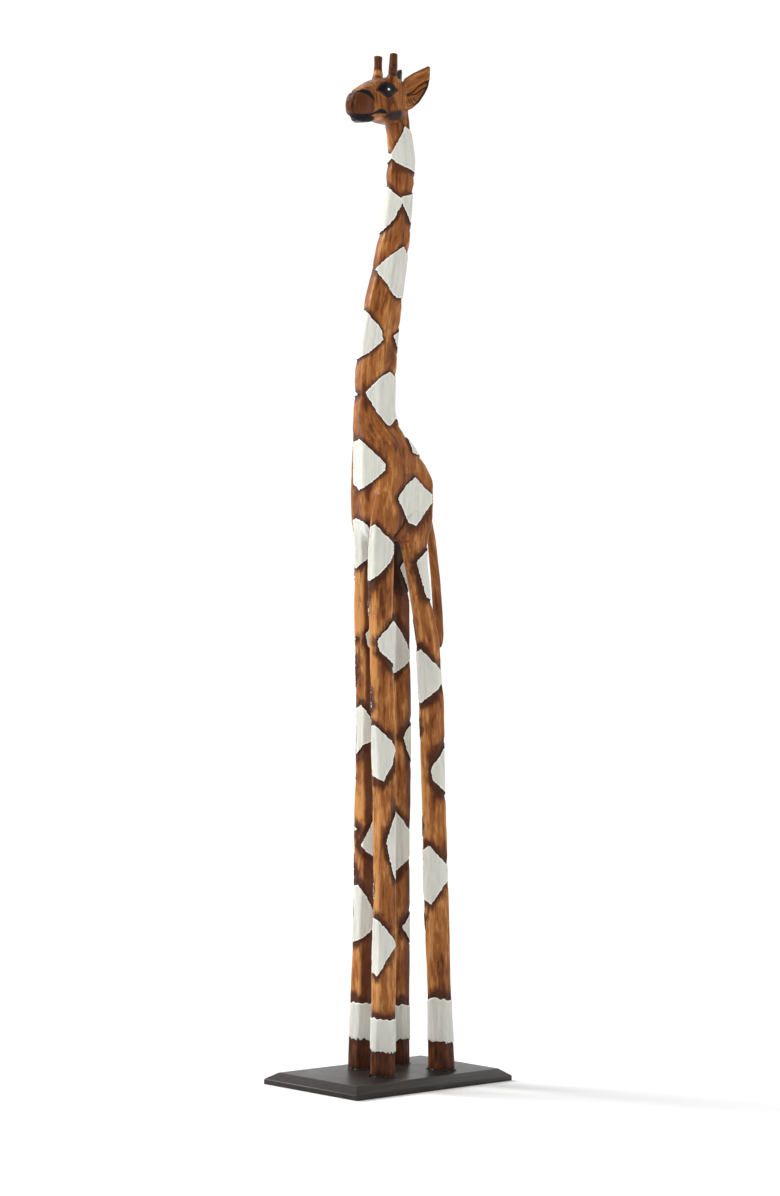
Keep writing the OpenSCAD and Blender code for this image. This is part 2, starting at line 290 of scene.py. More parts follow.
def ripple(x, y, z, size, seed):
    """Smooth wandering noise in about -1..1, from a few waves of about the given size."""
    rng = np.random.default_rng(seed)
    total = 0
    for _ in range(WAVES):
        k = rng.normal(size=3) * 3.6 / size
        total = total + np.sin(k[0] * x + k[1] * y + k[2] * z + rng.uniform(0, 6.28))
    return total / WAVES ** 0.5 / 1.4


def softened(rows, window):
    """A table resampled along its first column, with its kinks eased over the window."""
    first, *others = np.array(rows, float).T
    at = np.arange(first[0] - TABLE_ROOM, first[-1] + TABLE_ROOM + TABLE_STEP, TABLE_STEP)
    count = window // TABLE_STEP
    kernel = np.ones(count) / count
    lines = (np.pad(np.interp(at, first, line), count, mode="edge") for line in others)
    return np.stack([at, *(np.convolve(line, kernel, mode="same")[count:-count] for line in lines)], 1)


def line_distance(place, path):
    """Distance to a line of points in 2-D or 3-D, and how far along it as 0..1."""
    best, along = 1e9, 0
    for i, (p, q) in enumerate(zip(path, path[1:])):
        v = [b - a for a, b in zip(p, q)]
        t = sum((c - a) * w for c, a, w in zip(place, p, v)) / sum(w * w for w in v)
        t = np.clip(t, 0, 1)
        d = np.sqrt(sum((c - a - t * w) ** 2 for c, a, w in zip(place, p, v)))
        nearer = d < best
        best = np.where(nearer, d, best)
        along = np.where(nearer, (i + t) / (len(path) - 1), along)
    return best, along


def outline_distance(u, v, outline):
    """Signed distance to a closed outline, negative inside."""
    best = np.full(u.shape, 1e9)
    inside = np.zeros(u.shape, bool)
    for i in range(len(outline)):
        (ax, ay), (bx, by) = outline[i], outline[(i + 1) % len(outline)]
        ex, ey = bx - ax, by - ay
        px, py = u - ax, v - ay
        t = np.clip((px * ex + py * ey) / (ex * ex + ey * ey), 0, 1)
        best = np.minimum(best, (px - t * ex) ** 2 + (py - t * ey) ** 2)
        if ey:
            inside ^= ((ay <= v) != (by <= v)) & (u < ax + ex * (v - ay) / ey)
    return np.where(inside, -1, 1) * np.sqrt(best)


# ---------------------------------------------------------------- fields of the carving

# The ridge down the front of the neck and chest, and the slope of the two facets that meet there
KEEL_Y, KEEL_AHEAD, KEEL_FALL, KEEL_SQUARE = 2, 1, 0.43, 0.915
LEG_EDGE, BODY_EDGE = 1.3, 1.8  # how far a knife-cut edge is worn round
LEG_TABLES = {name: softened([[r[2], r[0], r[1], r[3], r[4]] for r in rows], 24)
              for name, rows in LEG_LINES.items()}
BODY_TABLE = softened([[r[2], (r[0] + r[1]) / 2, 0, (r[1] - r[0]) / 2, r[3],
                        BODY_FRONT_CUT * r[3], r[4]] for r in BODY], 12)
HEAD_TABLE = softened(HEAD, 6)
LIP_TABLE = softened(LIP, 4)
TAIL_TABLE = softened([[r[1], r[0], r[2]] for r in TAIL[::-1]], 8)


def read(table, at, *columns):
    """Columns of a softened table at places along its first column."""
    return [np.interp(at, table[:, 0], table[:, c]) for c in columns]


def limb_frame(name, z):
    """Centre x and y, half sizes and the four corner cuts of a limb at height z."""
    if name == "body":
        cx, cy, a, b, front, back = read(BODY_TABLE, z, 1, 2, 3, 4, 5, 6)
        return cx, cy, a, b, (front * 1.1, front, back, back * 0.95)
    cx, cy, a, b = read(LEG_TABLES[name], z, 1, 2, 3, 4)
    seed = list(LEG_LINES).index(name)
    shares = LEG_CORNERS[name]
    cuts = tuple(s * b * (1 + 0.16 * np.sin(z / (31 + 6 * i) + 2 * seed + i))
                 for i, s in enumerate(shares))
    return cx, cy, a, b, cuts


CORNERS = ((-1, -1), (-1, 1), (1, -1), (1, 1))


def limb_planes(name, x, y, z):
    """Distance outside each knife-cut plane of a limb."""
    cx, cy, a, b, cuts = limb_frame(name, z)
    q, r = x - cx, y - cy
    if name == "body":
        front = [(-q - a - KEEL_AHEAD + KEEL_FALL * fall) * KEEL_SQUARE
                 for fall in (KEEL_Y - r, r - KEEL_Y)]
    else:
        front = [-q - a]
    corners = [(sx * q + sy * r - (a + b - cut)) * DIAGONAL for (sx, sy), cut in zip(CORNERS, cuts)]
    return [q - a, *front, r - b, -r - b, *corners]


def limb_field(name, x, y, z):
    edge = BODY_EDGE if name == "body" else LEG_EDGE
    field, *planes = limb_planes(name, x, y, z)
    for plane in planes:
        field = smax(field, plane, edge)
    return field + 0.22 * ripple(x, y, 0.4 * z, 17, 3 + len(name))


def round_profile(table, ends, x, y, z, cut, edge):
    """The field of a form that lies along X between two ends, with an eight-sided section."""
    low, high, wide = read(table, x, 1, 2, 3)
    half, mid = (high - low) / 2, (high + low) / 2
    q, r = np.abs(y) - wide, np.abs(z - mid) - half
    corner = (q + r + cut * np.minimum(wide, half)) * DIAGONAL
    return np.maximum(smax(smax(q, r, edge), corner, edge), np.maximum(ends[0] - x, x - ends[1]))


def egg(place, middle, radii, scale):
    """The field of an ellipsoid, in millimetres where the scale is near its radii."""
    return (np.sqrt(sum(((c - m) / r) ** 2 for c, m, r in zip(place, middle, radii))) - 1) * scale


JAW_SHADE = [(-86, 1126), (-67, 1129.5), (-61, 1119), (-78, 1116), (-91, 1119.5)]  # (x, z)
HORN_X, HORN_Y, HORN_R, HORN_FOOT = -76, 12.5, 4.7, 1158

# Carved lines of the face, on the side of -Y; the other side mirrors them.
NOSTRIL = [(-130, -3, 1143.5), (-126, -8, 1145), (-121, -12.5, 1144.2), (-116, -14, 1142.2),
           (-111.5, -14.2, 1139.6), (-108.8, -14.5, 1137)]
MOUTH = [(-137, 0, 1117.2), (-131, -7, 1116.6), (-124, -11, 1117), (-116, -12.5, 1117.8),
         (-109, -13.3, 1119.6), (-104, -14, 1122.2), (-99.5, -15.3, 1124.6), (-94, -16.6, 1124.6),
         (-90, -17.4, 1123.4)]
NOSE_LINES = [[(-1, 1145), (1.5, 1144), (2.4, 1138), (2, 1131)],  # (y, z)
              [(-3, 1145), (-4, 1142), (-5.5, 1134), (-4.5, 1119)]]
EYE_MID = (-90, 1149.7)
EYE_LONG, EYE_HIGH, EYE_TILT = 14.9, 7.8, 7


def eye_height(u, above):
    """How far the almond reaches above or below its middle line; the lower lid bulges more sharply."""
    shape = np.clip(1 - (u / EYE_LONG) ** 2, 0, 1)
    return EYE_HIGH * np.where(above, shape ** 1.05, 0.88 * shape ** 2.2)


def eye_distance(x, z, grow=0):
    """Rough signed distance to the almond of the eye, seen from the side."""
    turn = np.radians(-EYE_TILT)
    dx, dz = x - EYE_MID[0], z - EYE_MID[1]
    u = dx * np.cos(turn) - dz * np.sin(turn)
    v = dx * np.sin(turn) + dz * np.cos(turn)
    beside = np.hypot(np.maximum(np.abs(u) - EYE_LONG, 0), v)
    return np.where(np.abs(u) < EYE_LONG, (np.abs(v) - eye_height(u, v > 0)) * 0.85, beside) - grow


# Rounded forms of the head: middle, radii and scale
MUZZLE = (-120.5, 0, 1129.4), (14.6, 14.2, 13.2), 13.4
BROW = (-87, -10.5, 1156.5), (13, 5, 4), 4
CHEEK = (-78, -9, 1133), (17, 10.2, 12), 10
NOSE_X, NOSE_Z = -135.6, 1126  # where the two flat cuts of the muzzle's front meet
HEAD_ENDS, LIP_ENDS = (-136.4, -42.6), (-129.6, -97)


def head_form(x, y, z):
    """The head before its lines are cut."""
    near = -np.abs(y)
    skull = round_profile(HEAD_TABLE, HEAD_ENDS, x, y, z, 0.42, 3.2)
    front = np.maximum(0.36 * (z - NOSE_Z), 0.3 * (NOSE_Z - z)) + NOSE_X - 0.1 * near
    muzzle = smax(egg((x, y, z), *MUZZLE), front - x, 2)
    muzzle = smax(muzzle, 0.907 * (z - 1143.5) - 0.42 * (x + 130), 2)
    skull = smin(skull, muzzle, 1.5)
    skull = smin(skull, round_profile(LIP_TABLE, LIP_ENDS, x, y, z, 0.45, 2), 1)
    skull = smin(skull, np.minimum(egg((x, near, z), *BROW), egg((x, near, z), *CHEEK)), 3)
    for side, _ in SIDES:  # a collar round the root of each horn
        collar = np.hypot(x - HORN_X + 1.6, y - side * (HORN_Y - 0.8))
        collar = collar - HORN_R - 0.3 * np.clip(1171 - z, 0, 8)
        collar = smax(smax(collar, z - 1170.5, 1.5), HORN_FOOT - z, 2)
        skull = smin(skull, collar, 2)
    return skull


def spindle(along):
    """0 near both ends of a line and 1 in its middle."""
    return np.sin(np.pi * np.clip(along, 0.02, 0.98)) ** 1.2


def socket_distance(x, near, z):
    """Distance to the line cut round the eye; far off in the middle of the head."""
    return np.where(near < -8, np.abs(eye_distance(x, z, 0.8)), 9)


def head_field(x, y, z):
    near = -np.abs(y)
    nostril, along = line_distance((x, near, z), NOSTRIL)
    skull = smax(head_form(x, y, z), 1 + 1.7 * spindle(along) - nostril, 0.7)
    mouth, along = line_distance((x, near, z), MOUTH)
    wide = 0.9 + 0.9 * ease(along, 0.62, 0.8) - 0.7 * ease(along, 0.9, 1)
    skull = smax(skull, wide - mouth, 0.7)
    return smax(skull, np.minimum(0.6 - socket_distance(x, near, z), skull + 0.9), 0.5)


BELLY_LOW, NECK_TOP = 633, 1146
HEAD_LOW = 1095  # the head's field is left out of cells that lie below this
# Creases of the flank, seen from the side as (x, z)
FLANK_CREASE = [(-40, 665.5), (-45, 661), (-62.5, 636)]
THIGH_FOLD = [(-62.5, 637), (-60, 668), (-57, 705)]


def flank_folds(x, y, z):
    """How far out on the flank a place is, and its distances to the crease and the fold."""
    crease, fold = (line_distance((x, z), line)[0] for line in (FLANK_CREASE, THIGH_FOLD))
    return ease(np.abs(y), 15, 20), crease, fold


def trunk_field(x, y, z):
    """Belly, neck, head and the stub of each leg in one field."""
    field = smax(limb_field("body", x, y, z), BELLY_LOW - z, 12)
    field = smax(field, z - NECK_TOP, 4)
    for name, rows in LEG_LINES.items():
        stub = smax(limb_field(name, x, y, z), z - rows[-1][2], 6)
        field = smin(field, stub, 6)
    outward, crease, fold = flank_folds(x, y, z)
    return field + outward * (1.8 * bell(crease, 1.5) + 0.9 * bell(fold, 6))


def whole_field(x, y, z):
    field = trunk_field(x, y, z)
    if np.max(z) > HEAD_LOW:
        field = smin(field, head_field(x, y, z), 5)
    return field


# ---------------------------------------------------------------- patch distances


def limb_patch_distance(name, x, y, z):
    """Signed distance to the nearest pale patch of one limb, negative on the patch."""
    cx, cy, a, b, _ = limb_frame(name, z)
    q, r = x - cx, y - cy
    jag_u, jag_v = (0.6 * ripple(x, y, z, 5, seed) + 0.35 * ripple(x, y, z, 2.4, seed + 1)
                    for seed in (21, 23))
    best = np.full(x.shape, 60.0)
    far = [lozenge(*row) for row in FAR_LOZENGES[name]]
    for side, outlines in ((-1, NEAR_PATCHES[name]), (1, far)):
        turn = np.clip(1.5 * q / a, -1, 1)
        round_ = (q + a) - turn * (side * r - b) + jag_u
        height = z + jag_v
        over_keel = np.where((q < 0) & (name == "body") & (side < 0), 9, 0)
        hidden = np.where(side * r < 0, 5 * (a - np.abs(q) - over_keel) - 3, -50)
        for outline in outlines:
            heights = [p[1] for p in outline]
            close = (z > min(heights) - 22) & (z < max(heights) + 22)
            if not close.any():
                continue
            d = outline_distance(round_[close], height[close], outline)
            best[close] = np.minimum(best[close], np.maximum(d, hidden[close]))
    return best


# How far a leg's patches may run on beyond the leg itself, onto the belly
PATCH_SPREAD = {"front_leg_left": 9, "front_leg_right": 15, "hind_leg_left": 4, "hind_leg_right": 4}
BODY_SPREAD = 4
BELLY_Z = 700  # legs' patches reach no higher than this


def trunk_patch_distance(x, y, z):
    best = limb_patch_distance("body", x, y, z)
    best = np.maximum(best, limb_field("body", x, y, z) - BODY_SPREAD)
    low = z < BELLY_Z
    if low.any():
        place = x[low], y[low], z[low]
        for name, spread in PATCH_SPREAD.items():
            d = np.maximum(limb_patch_distance(name, *place), limb_field(name, *place) - spread)
            best[low] = np.minimum(best[low], d)
    return best


def band_distance(name, x, y, z):
    """Signed distance to the pale band above a hoof, with its ragged edges."""
    low, high = FOOT_BANDS[name]
    low = low + 2.2 * ripple(x, y, 0, 10, 31 + low) + 1.8 * ripple(x, y, 0, 4, 32 + low)
    high = high + 1.8 * ripple(x, y, 0, 14, 33 + high) + 1.1 * ripple(x, y, 0, 5, 34)
    return np.maximum(z - high, low - z)


def sharpness(name, x, y, z):
    """1 along a limb's knife-cut edges, falling to 0 on its flat facets."""
    planes = np.sort(np.stack([p + 0 * x for p in limb_planes(name, x, y, z)]), axis=0)
    return np.exp(-np.maximum(planes[-1] - planes[-2], 0) / 1.3)


# ---------------------------------------------------------------- from field to mesh

# How far from its middle line a leg, a glue bead or a horn is meshed
LEG_ROOM, GLUE_ROOM, HORN_ROOM = 17, 19, 9
SLAB = 48  # layers of cells worked out at a time
# The spacing of the cells that the pieces are meshed with
TRUNK_STEP, HEAD_STEP, LEG_STEP, TAIL_STEP, GLUE_STEP, FINE_STEP = 1.1, 0.75, 1.15, 0.8, 0.6, 0.55
CELL = [(i, j, k) for i in (0, 1) for j in (0, 1) for k in (0, 1)]
CELL_EDGES = [(p, q) for p in CELL for q in CELL
              if p < q and sum(abs(m - n) for m, n in zip(p, q)) == 1]


def surface_net(field, low, high, step):
    """Vertices and quads of the zero level of a field inside a box."""
    low, high = np.array(low, float), np.array(high, float)
    n = np.ceil((high - low) / step).astype(int) + 1
    xs, ys, zs = (low[i] + step * np.arange(n[i]) for i in range(3))
    values = np.empty(tuple(n), np.float32)
    for k in range(0, n[2], SLAB):
        values[:, :, k:k + SLAB] = field(xs[:, None, None], ys[None, :, None],
                                         zs[None, None, k:k + SLAB])
    inside = values < 0
    count = sum(inside[i:n[0] - 1 + i, j:n[1] - 1 + j, k:n[2] - 1 + k].astype(np.int8)
                for i, j, k in CELL)
    active = (count > 0) & (count < 8)
    cells = np.argwhere(active)
    number = np.full(active.shape, -1, np.int64)
    number[active] = np.arange(len(cells))
    corner = {c: values[cells[:, 0] + c[0], cells[:, 1] + c[1], cells[:, 2] + c[2]] for c in CELL}
    total, hits = np.zeros((len(cells), 3)), np.zeros(len(cells))
    for p, q in CELL_EDGES:
        a, b = corner[p], corner[q]
        cross = (a < 0) != (b < 0)
        t = np.where(cross, a / np.where(a == b, 1, a - b), 0)
        spot = np.array(p) + t[:, None] * (np.array(q) - np.array(p))
        total += np.where(cross[:, None], spot, 0)
        hits += cross
    points = low + step * (cells + total / hits[:, None])
    faces = []
    for axis in range(3):
        u, v = (axis + 1) % 3, (axis + 2) % 3
        shape = [slice(None)] * 3
        shape[axis] = slice(None, -1)
        first = inside[tuple(shape)]
        shape[axis] = slice(1, None)
        second = inside[tuple(shape)]
        edges = np.argwhere(first != second)
        edges = edges[(edges[:, u] > 0) & (edges[:, v] > 0)
                      & (edges[:, u] < n[u] - 1) & (edges[:, v] < n[v] - 1)]
        leaving = first[edges[:, 0], edges[:, 1], edges[:, 2]]
        ring = []
        for du, dv in ((1, 1), (0, 1), (0, 0), (1, 0)):
            cell = edges.copy()
            cell[:, u] -= du
            cell[:, v] -= dv
            ring.append(number[cell[:, 0], cell[:, 1], cell[:, 2]])
        quads = np.stack(ring, 1)
        quads[leaving] = quads[leaving][:, ::-1]
        faces.append(quads)
    return points, np.concatenate(faces)[:, ::-1]


def slope(field, p, reach=0.25):
    """The field's gradient at points, by central differences."""
    parts = []
    for axis in range(3):
        step = np.zeros(3)
        step[axis] = reach
        ahead, behind = p + step, p - step
        parts.append((field(*ahead.T) - field(*behind.T)) / (2 * reach))
    return np.stack(parts, 1)


def settle(field, p, step, rounds=3):
    """Moves points onto the zero level of the field."""
    for _ in range(rounds):
        g = slope(field, p)
        move = field(*p.T)[:, None] * g / np.maximum((g * g).sum(1), 0.3)[:, None]
        size = np.linalg.norm(move, axis=1, keepdims=True)
        p = p - move * np.minimum(1, 0.5 * step / np.maximum(size, 1e-9))
    return p


def normals(field, p):
    g = slope(field, p)
    return g / np.linalg.norm(g, axis=1, keepdims=True)


def snap_to_outline(field, marks, p, step):
    """Slides points near a patch's outline along the surface until they lie on it."""
    d = marks(*p.T)
    near = np.abs(d) < 0.55 * step
    q = p[near]
    if len(q) == 0:
        return p
    normal = normals(field, q)
    g = slope(marks, q, 0.2)
    g -= normal * (g * normal).sum(1, keepdims=True)
    size = (g * g).sum(1)
    good = size > 0.3
    move = np.where(good[:, None], -d[near][:, None] * g / np.maximum(size, 0.3)[:, None], 0)
    length = np.linalg.norm(move, axis=1, keepdims=True)
    q = q + move * np.minimum(1, 0.6 * step / np.maximum(length, 1e-9))
    p = p.copy()
    p[near] = settle(field, q, step, 1)
    return p


def build_mesh(name, points, faces, attributes):
    mesh = bpy.data.meshes.new(name)
    mesh.vertices.add(len(points))
    mesh.vertices.foreach_set("co", (np.asarray(points) * MM).astype(np.float32).ravel())
    mesh.loops.add(faces.size)
    mesh.loops.foreach_set("vertex_index", faces.astype(np.int32).ravel())
    mesh.polygons.add(len(faces))
    mesh.polygons.foreach_set("loop_start", np.arange(0, faces.size, faces.shape[1], dtype=np.int32))
    mesh.update(calc_edges=True)
    mesh.validate()
    for key, value in attributes.items():
        value = np.asarray(value, np.float32)
        kind = "FLOAT_VECTOR" if value.ndim == 2 else "FLOAT"
        layer = mesh.attributes.new(key, kind, "POINT")
        layer.data.foreach_set("vector" if value.ndim == 2 else "value", value.ravel())
    return mesh


def cut_level(mesh, z, keep_above):
    """Cuts a mesh off at a height and closes it with a flat face."""
    bm = bmesh.new()
    bm.from_mesh(mesh)
    geometry = bm.verts[:] + bm.edges[:] + bm.faces[:]
    bmesh.ops.bisect_plane(bm, geom=geometry, dist=1e-6, plane_co=(0, 0, z * MM),
                           plane_no=(0, 0, -1 if keep_above else 1), clear_outer=True)
    rim = [e for e in bm.edges if e.is_boundary]
    filled = bmesh.ops.holes_fill(bm, edges=rim)
    bmesh.ops.poke(bm, faces=filled["faces"])
    bm.to_mesh(mesh)
    bm.free()


def loop_mesh(name, loops, bevel=0):
    """A closed mesh through rings of points, with both ends filled."""
    bm = bmesh.new()
    rings = [[bm.verts.new(Vector(p) * MM) for p in loop] for loop in loops]
    for lower, upper in zip(rings, rings[1:]):
        for i in range(len(lower)):
            j = (i + 1) % len(lower)
            bm.faces.new((lower[i], lower[j], upper[j], upper[i]))
    bm.faces.new(rings[0][::-1])
    bm.faces.new(rings[-1])
    if bevel:
        bmesh.ops.bevel(bm, geom=bm.edges[:], offset=bevel * MM, segments=3, affect="EDGES",
                        profile=0.5)
    bmesh.ops.recalc_face_normals(bm, faces=bm.faces)
    mesh = bpy.data.meshes.new(name)
    bm.to_mesh(mesh)
    bm.free()
    return mesh


def add_object(name, mesh, material, sharp):
    mesh.polygons.foreach_set("use_smooth", [True] * len(mesh.polygons))
    mesh.set_sharp_from_angle(angle=np.radians(sharp))
    mesh.materials.append(material)
    return put_object(name, mesh)


def declare(piece, slot, *nodes):
    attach(piece, "root")
    if nodes:
        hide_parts(*nodes)


def carve(name, field, low, high, step, material, marks=None, band=None, extras=None,
          levels=(), sharp=55):
    """Makes one carved piece. marks gives the patch distance and band the foot band's."""
    points, faces = surface_net(field, low, high, step)
    points = moved = settle(field, points, step)
    patch = np.full(len(points), NO_PATCH)
    if marks:
        edge_marks = marks if not band else (
            lambda x, y, z: np.minimum(marks(x, y, z), band(x, y, z)))
        points = snap_to_outline(field, edge_marks, points, step)
        patch = marks(*points.T)
        lift = -GROOVE_DEPTH * ease(patch, 0, GROOVE_WALL) * fade(patch, GROOVE_WALL, GROOVE_REACH)
        if band:
            to_band = band(*points.T)
            lift = lift * ease(to_band, 0, 6) + BAND_RISE * fade(to_band, -0.8, 0.1)
            patch = np.minimum(patch, to_band)
        moved = points + normals(field, points) * lift[:, None]
    attributes = {"patch": patch, **(extras(*points.T) if extras else {})}
    mesh = build_mesh(name, moved, faces, attributes)
    for z, keep_above in levels:
        cut_level(mesh, z, keep_above)
    return add_object(name, mesh, material, sharp)


# ---------------------------------------------------------------- materials


class Graph:
    """Short helpers for one material's node tree."""

    def __init__(self, name):
        self.material = bpy.data.materials.new(name)
        self.material.use_nodes = True
        self.tree = self.material.node_tree
        self.shader = self.tree.nodes["Principled BSDF"]

    def node(self, kind, links=None, **settings):
        made = self.tree.nodes.new(kind)
        for key, value in settings.items():
            setattr(made, key, value)
        for socket, value in (links or {}).items():
            self.feed(made.inputs[socket], value)
        return made

    def feed(self, socket, value):
        if isinstance(value, bpy.types.NodeSocket):
            self.tree.links.new(value, socket)
        elif isinstance(value, (tuple, list)) and len(value) == 3 and socket.type == "RGBA":
            socket.default_value = (*value, 1)
        else:
            socket.default_value = value

    def attribute(self, name, vector=False):
        made = self.node("ShaderNodeAttribute", attribute_name=name)
        return made.outputs["Vector" if vector else "Fac"]

    def math(self, operation, a, b=0.0, c=0.0):
        return self.node("ShaderNodeMath", {0: a, 1: b, 2: c}, operation=operation).outputs[0]

    def times(self, a, b, plus=0.0):
        return self.math("MULTIPLY_ADD", a, b, plus)

    def ramp(self, value, low, high, smooth=True):
        """0 below low, 1 above high; low may be above high for a falling ramp."""
        made = self.node("ShaderNodeMapRange", {"Value": value, "From Min": low, "From Max": high})
        made.interpolation_type = "SMOOTHSTEP" if smooth else "LINEAR"
        return made.outputs[0]

    def mix(self, share, a, b):
        made = self.node("ShaderNodeMix", data_type="RGBA")
        self.feed(made.inputs["Factor"], share)
        self.feed(made.inputs["A"], a)
        self.feed(made.inputs["B"], b)
        return made.outputs["Result"]

    def scaled(self, vector, scale):
        made = self.node("ShaderNodeVectorMath", {0: vector, 1: scale}, operation="MULTIPLY")
        return made.outputs[0]

    def noise(self, vector, scale=1.0, detail=3.0, rough=0.6, distortion=0.0):
        made = self.node("ShaderNodeTexNoise", {
            "Vector": vector, "Scale": scale, "Detail": detail, "Roughness": rough,
            "Distortion": distortion})
        return made.outputs["Fac"]

    def bump(self, height, depth):
        links = {"Height": height, "Distance": depth, "Strength": 1.0}
        return self.node("ShaderNodeBump", links).outputs[0]

    def finish(self, **sockets):
        for key, value in sockets.items():
            self.feed(self.shader.inputs[key.replace("_", " ")], value)
        return self.material


DARK_WOOD = (0.104, 0.029, 0.008)
MID_WOOD = (0.295, 0.098, 0.023)
LIGHT_WOOD = (0.560, 0.250, 0.078)
# near-black and brown of the burnt marks, also used for the painted shade that the same attribute carries
BURN_AND_SHADE_BLACK = (0.022, 0.008, 0.005)
BURN_AND_SHADE_BROWN = (0.100, 0.030, 0.011)
CHARRED = (0.016, 0.007, 0.004)
BLACK_PAINT_AND_SHADE = (0.008, 0.008, 0.010)
CHIN_HIGHLIGHT = (0.480, 0.220, 0.130)
PEARL = (0.680, 0.675, 0.605)
PEARL_COOL = (0.570, 0.585, 0.545)
PEARL_WARM = (0.760, 0.735, 0.650)
PEARL_RIM = (0.890, 0.880, 0.830)
PEARL_WORN = (0.420, 0.390, 0.320)


def wood_material(name):
    """Lacquered, stained wood with burnt haloes, painted shade, painted highlights and pale patches set
    by the piece's attributes.
    """
    g = Graph(name)
    grain = g.attribute("grain", vector=True)
    broad = g.noise(g.scaled(grain, (110, 110, 17)), detail=4, distortion=0.5)
    fine = g.noise(g.scaled(grain, (560, 560, 40)))
    pores = g.noise(g.scaled(grain, (1500, 1500, 110)), detail=2, rough=0.5)
    blotch = g.noise(grain, scale=22, detail=2, rough=0.5)
    mottle = g.noise(grain, scale=75)
    streak = g.noise(g.scaled(grain, (250, 250, 58)), distortion=0.4)
    tone = g.times(broad, 1.3, g.times(fine, 0.6, -0.98))
    tone = g.math("ADD", tone, streak)
    tone = g.math("ADD", tone, g.times(blotch, 0.9, -0.45))
    # lighter along knife-cut edges: worn edges, with a painted highlight laid along them
    tone = g.times(g.attribute("edge"), 0.22, tone)
    # darker where stained; below zero it paints lighter wood, such as the painted light on the legs' lit
    # front facets
    tone = g.times(g.attribute("stain_and_highlight"), -0.55, tone)
    tone = g.times(g.math("SUBTRACT", tone, 0.5), 1.25, 0.5)
    colour = g.mix(g.ramp(tone, 0.05, 0.5), DARK_WOOD, MID_WOOD)
    colour = g.mix(g.ramp(tone, 0.5, 1.05), colour, LIGHT_WOOD)
    colour = g.mix(g.times(g.ramp(pores, 0.62, 0.75), 0.45), colour, DARK_WOOD)
    # burnt marks and painted shade, as marked on each piece, and a burnt halo round every patch, narrower
    # on the body and neck
    patch = g.attribute("patch")
    upper = g.ramp(g.node("ShaderNodeSeparateXYZ", {0: grain}).outputs["Z"], 0.60, 0.70)
    wander = g.times(mottle, 14.0, g.times(blotch, 26.0, g.times(streak, 12.0, -26.0)))
    reach = g.times(patch, g.times(upper, 1.1, 1.0))
    halo = g.ramp(g.math("ADD", reach, wander), 15.0, 4.0)
    halo = g.times(halo, g.times(upper, -0.14, 0.84))
    burn_and_shade = g.math("MAXIMUM", halo, g.attribute("burn_and_shade"))
    burn_and_shade = g.times(g.math("SUBTRACT", mottle, 0.5), g.times(burn_and_shade, 0.5), burn_and_shade)
    burn_and_shade.node.use_clamp = True
    colour = g.mix(g.ramp(burn_and_shade, 0.0, 0.75, smooth=False), colour, BURN_AND_SHADE_BROWN)
    colour = g.mix(g.ramp(burn_and_shade, 0.7, 1.1, smooth=False), colour, BURN_AND_SHADE_BLACK)
    # a painted pinkish highlight under the chin
    colour = g.mix(g.attribute("chin_highlight"), colour, CHIN_HIGHLIGHT)
    line = g.ramp(g.times(mottle, 2.2, patch), 2.5, 1.6)
    colour = g.mix(g.times(line, 0.9), colour, CHARRED)
    # black paint, which also carries the painted shade under the jaw
    paint = g.attribute("paint")
    colour = g.mix(paint, colour, BLACK_PAINT_AND_SHADE)
    # pale patches
    brushed = g.noise(g.scaled(grain, (260, 260, 24)))
    cloud = g.noise(grain, scale=60)
    pale = g.mix(g.ramp(brushed, 0.32, 0.68), PEARL_COOL, PEARL_WARM)
    pale = g.mix(g.ramp(cloud, 0.35, 0.7), pale, PEARL)
    pale = g.mix(g.times(g.ramp(fine, 0.66, 0.8), 0.3), pale, PEARL_WORN)
    rim = g.ramp(g.times(mottle, 1.4, patch), -1.0, -0.2)
    pale = g.mix(g.times(rim, 0.9), pale, PEARL_RIM)
    on_patch = g.ramp(patch, 0.18, -0.12)
    colour = g.mix(on_patch, colour, pale)
    wood_rough = g.times(paint, -0.14, g.times(fine, 0.16, g.times(burn_and_shade, 0.08, 0.25)))
    rough = g.node("ShaderNodeMix", {0: on_patch, 2: wood_rough, 3: 0.42}).outputs[0]
    height = g.times(fine, 0.5, g.times(pores, 0.35))
    height = g.times(mottle, 0.6, g.times(brushed, 1.3, height))
    return g.finish(Base_Color=colour, Roughness=rough, Normal=g.bump(height, 0.0006),
                    Specular_IOR_Level=0.11, Coat_Weight=0.015, Coat_Roughness=0.16)


def plinth_material():
    g = Graph("stained_board")
    place = g.node("ShaderNodeTexCoord").outputs["Object"]
    grain = g.noise(g.scaled(place, (14, 420, 420)), detail=4, distortion=0.2)
    cloud = g.noise(place, scale=28, detail=4)
    scuff = g.noise(g.scaled(place, (60, 300, 300)), scale=1.3, rough=0.7)
    colour = g.mix(g.ramp(grain, 0.3, 0.7), (0.017, 0.013, 0.012), (0.034, 0.028, 0.026))
    colour = g.mix(g.times(g.ramp(cloud, 0.45, 0.75), 0.5), colour, (0.050, 0.039, 0.033))
    colour = g.mix(g.times(g.ramp(scuff, 0.66, 0.8), 0.35), colour, (0.14, 0.115, 0.10))
    rough = g.times(cloud, 0.22, 0.24)
    return g.finish(Base_Color=colour, Roughness=rough, Normal=g.bump(grain, 0.0002),
                    Specular_IOR_Level=0.2)


def speckled_material(name, dark, light, rough, scale, depth=0.0002):
    """A finish of two near colours, mottled, for paint, glue and metal."""
    g = Graph(name)
    place = g.node("ShaderNodeTexCoord").outputs["Object"]
    cloud = g.noise(place, scale=scale)
    colour = g.mix(g.ramp(cloud, 0.35, 0.7), dark, light)
    return g.finish(Base_Color=colour, Roughness=g.times(cloud, 0.15, rough),
                    Normal=g.bump(cloud, depth), Specular_IOR_Level=0.3)


